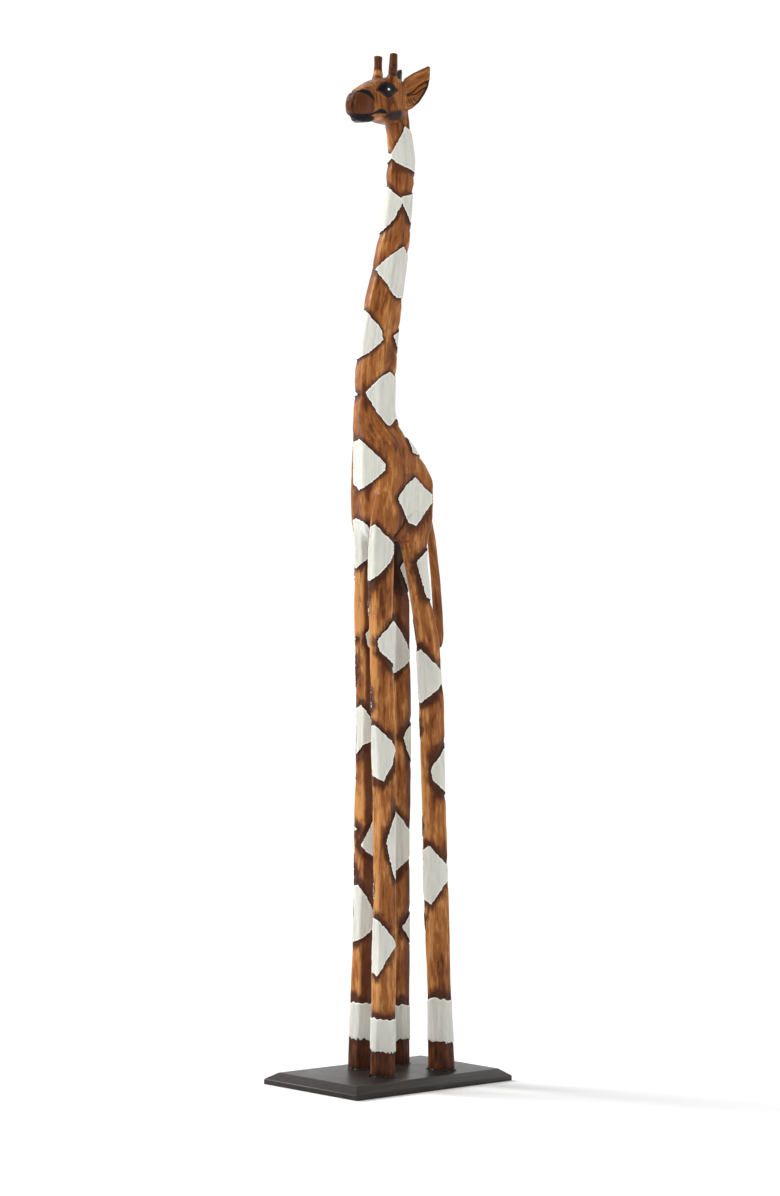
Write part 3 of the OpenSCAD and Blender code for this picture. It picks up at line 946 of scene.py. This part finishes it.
def eye_material():
    """Black gloss paint with a blue cast, a dull ring round the pupil and a white dot."""
    g = Graph("eye_paint")
    ring = g.attribute("pupil")
    cloud = g.noise(g.node("ShaderNodeTexCoord").outputs["Object"], scale=260, rough=0.55)
    colour = g.mix(g.ramp(cloud, 0.35, 0.7), (0.002, 0.003, 0.004), (0.008, 0.010, 0.014))
    band = g.times(g.ramp(ring, 4.3, 3.6), g.ramp(ring, 2.9, 3.5))
    colour = g.mix(g.times(band, 0.3), colour, (0.10, 0.10, 0.12))
    colour = g.mix(g.ramp(ring, 3.3, 2.9), colour, (0.004, 0.004, 0.005))
    colour = g.mix(g.ramp(ring, 1.55, 1.25), colour, (0.85, 0.85, 0.83))
    return g.finish(Base_Color=colour, Roughness=g.times(cloud, 0.14, 0.12),
                    Normal=g.bump(cloud, 0.0002), Specular_IOR_Level=0.1)


wood = wood_material("lacquered_wood")

# ---------------------------------------------------------------- trunk: body, neck and head

NECK_CUT = 908  # where the lower half's coarse mesh meets the upper half's fine one
FACE_LOW = 1100  # paint and blush are worked out above this
BEND_Z = 740  # above this the grain follows the bend of the neck


def grain_place(name, x, y, z):
    """Coordinates for the grain that follow a limb and agree where two pieces meet."""
    if name == "trunk":
        shift = read(BODY_TABLE, np.maximum(z, BEND_Z), 1)[0] - read(BODY_TABLE, BEND_Z, 1)[0]
        return np.stack([x - shift, y, z], 1) * MM
    cx, cy = read(LEG_TABLES[name], z, 1, 2)
    ox, oy = read(LEG_TABLES[name], JOINT_Z, 1, 2)
    return np.stack([x - cx + ox, y - cy + oy, z], 1) * MM


def leg_shades(name, x, y, z):
    """Painted light on a leg: how much lighter its lit front facet is painted, and how dark the painted
    shade on the near flank of a right leg is.
    """
    cx, cy, half, _, _ = limb_frame(name, z)
    q, drift = x - cx + half, 1.2 * ripple(x, y, 0.3 * z, 30, 65)
    front = 0.42 * fade(q, 0.4, 2.2)
    near = ease(cy - y, 2, 6)
    if name == "front_leg_right":
        return front, 0.68 * ease(q + drift, 0.5, 3) * near
    if name == "hind_leg_right":
        return front, 0.5 * ease(q + 2 * drift, 8, 14) * near
    return front, 0 * front


def looks(x, grain, edge=0, burn_and_shade=0, stain_and_highlight=0, paint=0, chin_highlight=0):
    """The values that the wood material reads from a mesh, besides its distance to the patches."""
    values = {"edge": edge, "burn_and_shade": burn_and_shade, "stain_and_highlight": stain_and_highlight, "paint": paint, "chin_highlight": chin_highlight}
    return {"grain": grain, **{key: value + 0 * x for key, value in values.items()}}


def face_paint_shade_and_highlight(x, y, z, jaw):
    """Black paint on the head, with painted shade under the jaw and a painted pinkish highlight under the
    chin.
    """
    near = -np.abs(y)
    nostril, along = line_distance((x, near, z), NOSTRIL)
    wide = 1.3 + 1.9 * spindle(along)
    # a painted grey-brown sheen in the middle of the nostril's black crescent
    nostril_sheen = 0.4 * bell(along - 0.52, 0.16) * fade(nostril, 0.4, 1.5)
    mouth, along = line_distance((x, z), [(p[0], p[2]) for p in MOUTH])
    lips = 0.9 + 1.2 * ease(along, 0.55, 0.75) - 1.2 * ease(along, 0.88, 1)
    socket = socket_distance(x, near, z)
    nose = [0.75 * fade(line_distance((y, z), line)[0], 0.4, 1.4) * ease(-x, 122, 125)
            for line in NOSE_LINES]
    black = np.maximum.reduce([
        fade(nostril, wide - 0.3, wide + 0.6) - nostril_sheen, *nose, fade(mouth, lips, lips + 0.9),
        fade(x, -103.5, -101) * fade(z, 1117, 1118.2), 0.9 * fade(socket, 0.3, 1.1)])
    # a painted pinkish highlight on the underside of the jaw behind the lower lip
    chin_highlight = 0.8 * fade(z, 1117, 1120) * ease(x, -103, -100) * fade(x, -92, -88) * (1 - black)
    # the painted shade under the jaw is laid in with the black paint
    return np.maximum(black, 0.55 * fade(jaw, -4, 2.5)), chin_highlight


def trunk_extras(x, y, z):
    near = -np.abs(y)
    edge = sharpness("body", x, y, z) * fade(z, 1100, 1115) * ease(z, 690, 720)
    stain_and_highlight = 0.05 * ease(z, 620, 700) + 0.07 * ease(z, 1085, 1118)
    outward, crease, fold = flank_folds(x, y, z)
    # dark marks: darker along the flank's crease and behind the thigh's fold; painted shade between the
    # legs, on the right hind leg's inner top, under the belly, jaw and throat, and on the near flanks of
    # the right legs; darker behind the horns
    behind_fold = ease(x - np.interp(z, (637, 705), (-62, -57)), 0, 2) * (z < 712)
    hind_right = fade(limb_field("hind_leg_right", x, y, z), 1, 3) * fade(z, 645, 660)
    jaw = outline_distance(x, z, JAW_SHADE) + 0.8 * ripple(x, y, z, 6, 51)
    saddle = np.hypot(x - HORN_X + 5, near + HORN_Y - 6)
    throat = np.hypot(x + 66, z - 1110)
    burns_and_shades = [0 * x, 0.95 * outward * bell(crease, 2.4), outward * behind_fold * 0.6 * bell(fold, 14),
             ease(near, -11.5, -9.5) * ease(z, 566, 600) * fade(z, 650, 665),
             hind_right * ease(-y, -32, -26) * (0.5 + 0.5 * ease(z, 562, 582)),
             ease(637 - z, -1, 1) * ease(x, -60, -50) * (near > -9.5), 1.1 * fade(jaw, -3, 3.5),
             fade(saddle, 3.5, 6) * ease(z, 1160, 1166) * (y < 6), 0.3 * bell(throat, 9)]
    for name in LEG_LINES:
        on_limb = fade(limb_field(name, x, y, z), 0.5, 2) * fade(z, 640, 670)
        edge = np.maximum(edge, sharpness(name, x, y, z) * on_limb)
        # painted light on each leg's stub: a lighter lit front facet, and painted shade on a right leg's
        # near flank
        front, flank = leg_shades(name, x, y, z)
        stain_and_highlight = stain_and_highlight - front * on_limb
        burns_and_shades.append(flank * on_limb)
    on_head = ease(z, 1108, 1114)
    brow_line = np.interp(x, [p[0] for p in NOSTRIL], [p[2] for p in NOSTRIL])
    muzzle = on_head * ease(-x, 106, 109) * ease(brow_line - z, -1, 2)
    nose_tip = ease(-x, 132, 133.5) * fade(z, 1133, 1138)
    under_eye = fade(np.abs(eye_distance(x, z, 1.5)), 0.5, 3) * (z < 1150)
    stain_and_highlight = stain_and_highlight + muzzle * (0.85 - 0.5 * nose_tip) - 0.35 * under_eye * on_head
    made = looks(x, grain_place("trunk", x, y, z), edge, np.maximum.reduce(burns_and_shades), stain_and_highlight)
    head = z > FACE_LOW
    if head.any():
        made["paint"][head], made["chin_highlight"][head] = face_paint_shade_and_highlight(x[head], y[head], z[head], jaw[head])
    return made


# Each half overlaps the cut by a few cells and is then cut flat.
for name, field, low, high, step, levels in (
        ("carved_body", trunk_field, (-102, -40, 552), (26, 40, NECK_CUT + 6), TRUNK_STEP,
         ((JOINT_Z, True), (NECK_CUT, False))),
        ("carved_head", whole_field, (-141, -24, NECK_CUT - 6), (-24, 24, 1174), HEAD_STEP,
         ((NECK_CUT, True),))):
    half = carve(name, field, low, high, step, wood, marks=trunk_patch_distance,
                 extras=trunk_extras, levels=levels)
    declare(half, "carved_wood", "body_neck_head")

# ---------------------------------------------------------------- legs


def leg_extras(name):
    low, high = FOOT_BANDS[name]

    def extras(x, y, z):
        hoof = fade(z, low - 3, low + 3)
        wet = np.exp(-np.clip(z - BASE_TOP, 0, None) / 2.2)
        # front is painted light on the lit front facet; flank is painted shade on a right leg's near
        # flank
        front, flank = leg_shades(name, x, y, z)
        burns_and_shades = [(0.72 + 0.25 * ripple(x, y, 0.25 * z, 6, 61) + 0.6 * wet) * hoof,
                 0.75 * bell(z - high, 9) * (z > high - 2), flank]
        # painted shade on the upper right hind leg, which stands in the shade of the other legs and the
        # body
        if name == "hind_leg_right":
            burns_and_shades.append(0.5 * ease(z, 505, 550))
        return looks(x, grain_place(name, x, y, z), sharpness(name, x, y, z),
                     np.maximum.reduce(burns_and_shades), 0.5 * hoof - front)
    return extras


for name, rows in LEG_LINES.items():
    span = np.array([row[:2] for row in rows if row[2] <= JOINT_Z + 30])
    leg = carve("carved_" + name, partial(limb_field, name),
                (*(span.min(0) - LEG_ROOM), BASE_TOP - 6),
                (*(span.max(0) + LEG_ROOM), JOINT_Z + 6), LEG_STEP, wood,
                marks=partial(limb_patch_distance, name), band=partial(band_distance, name),
                extras=leg_extras(name), levels=((BASE_TOP, True), (JOINT_Z, False)))
    declare(leg, "carved_wood", name)

# ---------------------------------------------------------------- tail, ears, horns


def tail_field(x, y, z):
    cx, half = read(TAIL_TABLE, z, 1, 2)
    q, r = np.abs(x - cx) * 0.96, np.abs(y)
    field = smax(smax(q, r, 2) - half, (q + r) * DIAGONAL - half * 1.12, 1.5)
    field = smax(field, 510.5 - z, 2.5)
    return smax(field, z - 704, 1) + 0.12 * ripple(x, y, 0.4 * z, 9, 71)


def tail_extras(x, y, z):
    edge = 0.6 * np.exp(-np.abs(np.abs(x - read(TAIL_TABLE, z, 1)[0]) - np.abs(y)) / 1.2)
    burn_and_shade = 0.55 * bell(z - 512, 5) + 0.5 * bell(z - 560, 22)
    grain = np.stack([x + 0.28 * z, y, z], 1) * MM
    return looks(x, grain, edge, burn_and_shade, stain_and_highlight=0.2)


tail = carve("carved_tail", tail_field, (8, -8, 505), (66, 8, 708), TAIL_STEP, wood,
             extras=tail_extras)
declare(tail, "carved_wood", "tail")

EAR_OUTLINE = [(-4, 1140), (-5.5, 1152), (-5, 1160), (-1, 1168), (10, 1175.5), (29, 1185.6),
               (31, 1184), (31.2, 1171), (29, 1160), (24.5, 1151.5), (18, 1142), (10, 1134.8),
               (3, 1130.6), (-1, 1131)]
EAR_ROOT_X, EAR_ROOT_Y = -58, 15
EAR_TURN = {-1: np.radians(17), 1: np.radians(9)}
EAR_HALF = 3  # half the ear's thickness
EAR_LINES = [[(-4, 1149.4), (3.7, 1149.8), (10.5, 1153.6), (17.1, 1160.4), (23.8, 1165.3),
              (30, 1168.9)],
             [(5, 1149), (14, 1151.5), (20.7, 1156.7), (29, 1162.5)]]
EAR_FAN = [((0.5, 1145), (2.5, 1139)), ((4, 1145), (7.7, 1139.7)), ((7.4, 1145.6), (11, 1138.6)),
           ((10.8, 1146.6), (15.5, 1141))]


def ear_local(side, x, y):
    """Along the ear and out from its middle plane; out is positive on the outer face."""
    dx, dy = x - EAR_ROOT_X, side * y - EAR_ROOT_Y
    turn = EAR_TURN[side]
    return dx * np.cos(turn) + dy * np.sin(turn), dy * np.cos(turn) - dx * np.sin(turn)


def ear_cuts(u, v):
    """Distances to the ear's upper and lower cut lines, and to each line of the fan at its root."""
    upper, lower, *fan = (line_distance((u, v), line)[0] for line in (*EAR_LINES, *EAR_FAN))
    return upper, lower, fan


def ear_field(side):
    def field(x, y, z):
        u, out = ear_local(side, x, y)
        u, v, out = np.broadcast_arrays(u, z, out)
        rim = outline_distance(u, v, EAR_OUTLINE)
        hollow = 2.3 * ease(-rim, 1.2, 6.5) * ease(u, -3, 5)
        upper, lower, fan = ear_cuts(u, v)
        cut = 1.1 * fade(upper, 0, 1.1) + 0.9 * fade(lower, 0, 1)
        cut = cut + sum(0.6 * fade(hatch, 0, 0.8) for hatch in fan)
        front = out - EAR_HALF + np.minimum(hollow + cut * ease(-rim, 0.5, 2), 4.2)
        back = -out - EAR_HALF + 1.6 * ease(rim, -7, 0)
        return smax(smax(front, back, 0.8), rim, 0.8)
    return field


def ear_extras(side):
    def extras(x, y, z):
        u, out = ear_local(side, x, y)
        rim = outline_distance(u, z, EAR_OUTLINE)
        outer = ease(out, -0.5, 0.8)
        upper, lower, fan = ear_cuts(u, z)
        root_dot = np.hypot(u - 3, z - 1149) / 2.6
        black = np.maximum.reduce([fade(upper, 0.3, 1.3), fade(lower, 0.3, 1.2), fade(root_dot, 0.5, 1.1),
                                   *(0.8 * fade(hatch, 0.2, 0.9) for hatch in fan)])
        # the rim is painted all round, and more widely along its lower rear edge
        rear = ease(1160 - z + 0.55 * (u - 8), 0, 6) * ease(u, -4, 4) * ease(u - 8, 0, 8)
        rim_wide = 0.5 + 1.6 * rear
        rim_black = fade(-rim, rim_wide, rim_wide + 1.4) * (0.5 + 0.5 * rear)
        dark = np.maximum(black * outer, rim_black)
        inner = outer * ease(1163 - z + 0.5 * (u - 8), 0, 3) * (1 - dark)
        # the grain fans out from the root
        grain = np.stack([(z - 1148) * 0.8 - 0.4 * u, out, u], 1) * MM + 0.3
        return looks(x, grain, burn_and_shade=1.1 * (1 - outer), stain_and_highlight=0.02 - 0.25 * inner,
                     paint=np.maximum(0.92 * dark, 0.6 * (1 - outer)))
    return extras


for side, word in SIDES:
    centre_y = side * (EAR_ROOT_Y + 6)
    ear = carve("carved_ear_" + word, ear_field(side), (-68, centre_y - 14, 1128),
                (-24, centre_y + 14, 1190), FINE_STEP, wood, extras=ear_extras(side), sharp=50)
    declare(ear, "carved_wood", "ear_" + word)


def horn_field(side, top, flare):
    def field(x, y, z):
        lean = 0.5 * np.sin((z - 1160) / 12 + side) - (1.8 if side < 0 else 0)
        dx, dy = x - HORN_X - lean, y - side * HORN_Y
        radius = HORN_R + 0.25 * np.sin((z - 1165) / 5 + side) + flare * ease(1182 - z, 0, 14)
        facet = 0.16 * np.cos(7 * np.arctan2(dy, dx) + side)
        field = smax(np.hypot(dx, dy) - radius - facet, z - top + 0.05 * dx, 1.5)
        return smax(field, HORN_FOOT - z, 1) + 0.1 * ripple(x, y, z, 6, 81)
    return field


def horn_extras(side, top):
    def extras(x, y, z):
        dx, dy = x - HORN_X, y - side * HORN_Y
        burn_and_shade = 0.9 * ease(z, top - 2.2, top - 0.6)
        burn_and_shade = burn_and_shade + 0.5 * ease(np.sin(np.arctan2(dy, dx) * 2 + 1 + side), 0.5, 1)
        if side < 0:
            burn_and_shade = burn_and_shade + ease(ripple(x, y, z, 4.5, 91), -0.1, 0.25) * fade(z, 1177, 1184)
            stain_and_highlight = 0.7
        else:
            raw = fade(z, 1174, 1179)  # a pale stretch where the stain has missed the far horn
            burn_and_shade, stain_and_highlight = burn_and_shade * (1 - raw), 0.62 - 1.8 * raw
        burn_and_shade = np.clip(burn_and_shade, 0, 1.1) * ease(np.hypot(dx, dy), 0, 1)
        return looks(x, np.stack([x, y, z], 1) * MM, burn_and_shade=burn_and_shade, stain_and_highlight=stain_and_highlight)
    return extras


for side, word, top, flare in ((-1, "left", TOP_Z, 0.3), (1, "right", TOP_Z - 1, 0.9)):
    mid = side * HORN_Y
    horn = carve("carved_horn_" + word, horn_field(side, top, flare),
                 (HORN_X - HORN_ROOM, mid - HORN_ROOM, HORN_FOOT - 3),
                 (HORN_X + HORN_ROOM, mid + HORN_ROOM, top + 3), FINE_STEP, wood,
                 extras=horn_extras(side, top), sharp=50)
    declare(horn, "burnt_wood", "horn_" + word)

# ---------------------------------------------------------------- eyes

EYE_RINGS, EYE_SPOKES = 26, 96
# The rise of the dome, the depth of its back, how proud of the head the rim stands, and a place
# beyond the head's side
EYE_DOME, EYE_BACK, EYE_PROUD, EYE_OUTSIDE = 1.5, 2.5, 0.15, -22.0
PUPIL = (-90.2, 1150.5)


def make_eye(side, word):
    """A domed almond that follows the side of the head."""
    turn = np.radians(EYE_TILT)
    spin = np.linspace(0, 2 * np.pi, EYE_SPOKES, endpoint=False)
    share = np.concatenate([[1.0], np.linspace(1, 0.03, EYE_RINGS)])[:, None]
    u = share * EYE_LONG * np.cos(spin)
    v = share * eye_height(EYE_LONG * np.cos(spin), np.sin(spin) > 0) * np.sign(np.sin(spin))
    x = EYE_MID[0] + u * np.cos(turn) - v * np.sin(turn)
    z = EYE_MID[1] + u * np.sin(turn) + v * np.cos(turn)
    y = np.full(x.shape, EYE_OUTSIDE)
    for _ in range(40):  # walk in until the side of the head is met
        y = y + np.maximum(head_form(x, y, z), 0) * 0.9
    y = y - EYE_DOME * (1 - share ** 2.5) - EYE_PROUD
    y[0] = y[1] + EYE_BACK
    mesh = loop_mesh("eye_" + word, np.stack([x, y * -side, z], 2))
    ring = np.hypot(0.8 * (x - PUPIL[0]), z - PUPIL[1]).astype(np.float32)
    mesh.attributes.new("pupil", "FLOAT", "POINT").data.foreach_set("value", ring.ravel())
    declare(add_object("painted_eye_" + word, mesh, eye_paint, sharp=50), "gloss_black", "eye_" + word)


eye_paint = eye_material()
for side, word in SIDES:
    make_eye(side, word)

# ---------------------------------------------------------------- plinth

EDGE_HIGH, CHAMFER, BOARD_BEVEL = 6, 12, 0.9
PLINTH_SHARP = 35  # degrees
SCREW_HOLE_D, SCREW_HEAD_D, SCREW_SINK = 5.5, 9.5, 1


def rectangle(inset, z):
    x, y = BASE_X - inset, BASE_Y - inset
    return [(-x, -y, z), (x, -y, z), (x, y, z), (-x, y, z)]


def make_plinth():
    outline = (rectangle(0, 0), rectangle(0, EDGE_HIGH), rectangle(CHAMFER, BASE_TOP))
    board = add_object("plinth_board", loop_mesh("plinth", outline, bevel=BOARD_BEVEL),
                       plinth_material(), sharp=PLINTH_SHARP)
    turns = np.arange(48) * np.pi / 24
    rings = [(SCREW_HEAD_D, -1), (SCREW_HEAD_D, SCREW_SINK),
             (SCREW_HOLE_D, SCREW_SINK + 2), (SCREW_HOLE_D, BASE_TOP + 1)]
    for x, y, *_ in (rows[0] for rows in LEG_LINES.values()):
        cutter = put_object("hole", loop_mesh("hole", [
            [(x + d / 2 * np.cos(t), y + d / 2 * np.sin(t), z) for t in turns] for d, z in rings]))
        cut = board.modifiers.new("hole", "BOOLEAN")
        cut.operation, cut.object, cut.solver = "DIFFERENCE", cutter, "EXACT"
        bpy.context.view_layer.objects.active = board
        bpy.ops.object.modifier_apply(modifier=cut.name)
        bpy.data.objects.remove(cutter)
    board.data.set_sharp_from_angle(angle=np.radians(PLINTH_SHARP))
    declare(board, "dark_stained_wood", "base_plinth")


make_plinth()

# dark glue and paint squeezed out round each foot
glue = speckled_material("dark_glue", (0.006, 0.004, 0.003), (0.022, 0.013, 0.009), 0.3, 500,
                         0.0004)


def glue_field(name, seed):
    def field(x, y, z):
        wall = limb_field(name, x, y, BASE_TOP + 0 * z)
        bead = 1.5 + 1.2 * ripple(x, y, 0, 7, seed) + 0.7 * ripple(x, y, 0, 3, seed + 1)
        ring = np.hypot(np.maximum(wall, 0), z - BASE_TOP) - np.clip(bead, 0.4, 3.6)
        ring = smax(ring, -wall - 1.2, 0.4)
        return np.maximum(ring, BASE_TOP - 0.15 - z)
    return field


for seed, (name, rows) in enumerate(LEG_LINES.items()):
    x, y = rows[0][:2]
    bead = carve("glue_" + name, glue_field(name, 41 + 3 * seed),
                 (x - GLUE_ROOM, y - GLUE_ROOM, BASE_TOP - 1),
                 (x + GLUE_ROOM, y + GLUE_ROOM, BASE_TOP + 4), GLUE_STEP, glue)
    declare(bead, "dark_stained_wood")

# ---------------------------------------------------------------- frame nodes that stay

beech = speckled_material("beech", (0.50, 0.33, 0.19), (0.62, 0.44, 0.28), 0.5, 120)
steel = speckled_material("zinc", (0.42, 0.42, 0.43), (0.56, 0.56, 0.57), 0.28, 400)
steel.node_tree.nodes["Principled BSDF"].inputs["Metallic"].default_value = 1
for node in ("front_dowel_left", "front_dowel_right", "hind_dowel_left", "hind_dowel_right",
             "tail_dowel", "foot_screws"):
    finish = steel if node == "foot_screws" else beech
    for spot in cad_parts[node].material_slots:
        spot.material = finish

# ---------------------------------------------------------------- floor and light


def make_floor():
    mesh = bpy.data.meshes.new("floor")
    reach = 40
    mesh.from_pydata([(-reach, -reach, 0), (reach, -reach, 0), (reach, reach, 0),
                      (-reach, reach, 0)], [], [(0, 1, 2, 3)])
    g = Graph("floor")
    mesh.materials.append(g.finish(Base_Color=(0.94, 0.94, 0.94), Roughness=0.8,
                                   Specular_IOR_Level=0.2))
    floor = put_object("floor", mesh)


def make_world():
    """A bright backdrop behind the statue that falls off to a dimmer room behind the camera."""
    world = bpy.data.worlds.new("studio")
    world.use_nodes = True
    tree = world.node_tree
    place = tree.nodes.new("ShaderNodeTexCoord")
    facing = tree.nodes.new("ShaderNodeVectorMath")
    facing.operation = "DOT_PRODUCT"
    facing.inputs[1].default_value = (0.741, 0.671, 0.1)
    dimming = tree.nodes.new("ShaderNodeMapRange")
    dimming.interpolation_type = "SMOOTHSTEP"
    for socket, value in (("From Min", -0.4), ("From Max", 0.6), ("To Min", ROOM_DIM),
                          ("To Max", BACKDROP)):
        dimming.inputs[socket].default_value = value
    tree.links.new(place.outputs["Generated"], facing.inputs[0])
    tree.links.new(facing.outputs["Value"], dimming.inputs["Value"])
    tree.links.new(dimming.outputs[0], tree.nodes["Background"].inputs["Strength"])
    tree.nodes["Background"].inputs["Color"].default_value = (1, 1, 1, 1)
    bpy.context.scene.world = world


def sun_light(name, place, strength, spread):
    light = bpy.data.lights.new(name, "SUN")
    light.energy, light.angle = strength, np.radians(spread)
    lamp = put_object(name, light)
    lamp.rotation_euler = (-Vector(place)).to_track_quat("-Z", "Y").to_euler()


BACKDROP, ROOM_DIM = 1.06, 0.60
make_floor()
make_world()
bpy.context.scene.view_settings.view_transform = "Standard"
sun_light("key", (-0.50, 0.80, 0.62), 2.7, 24)
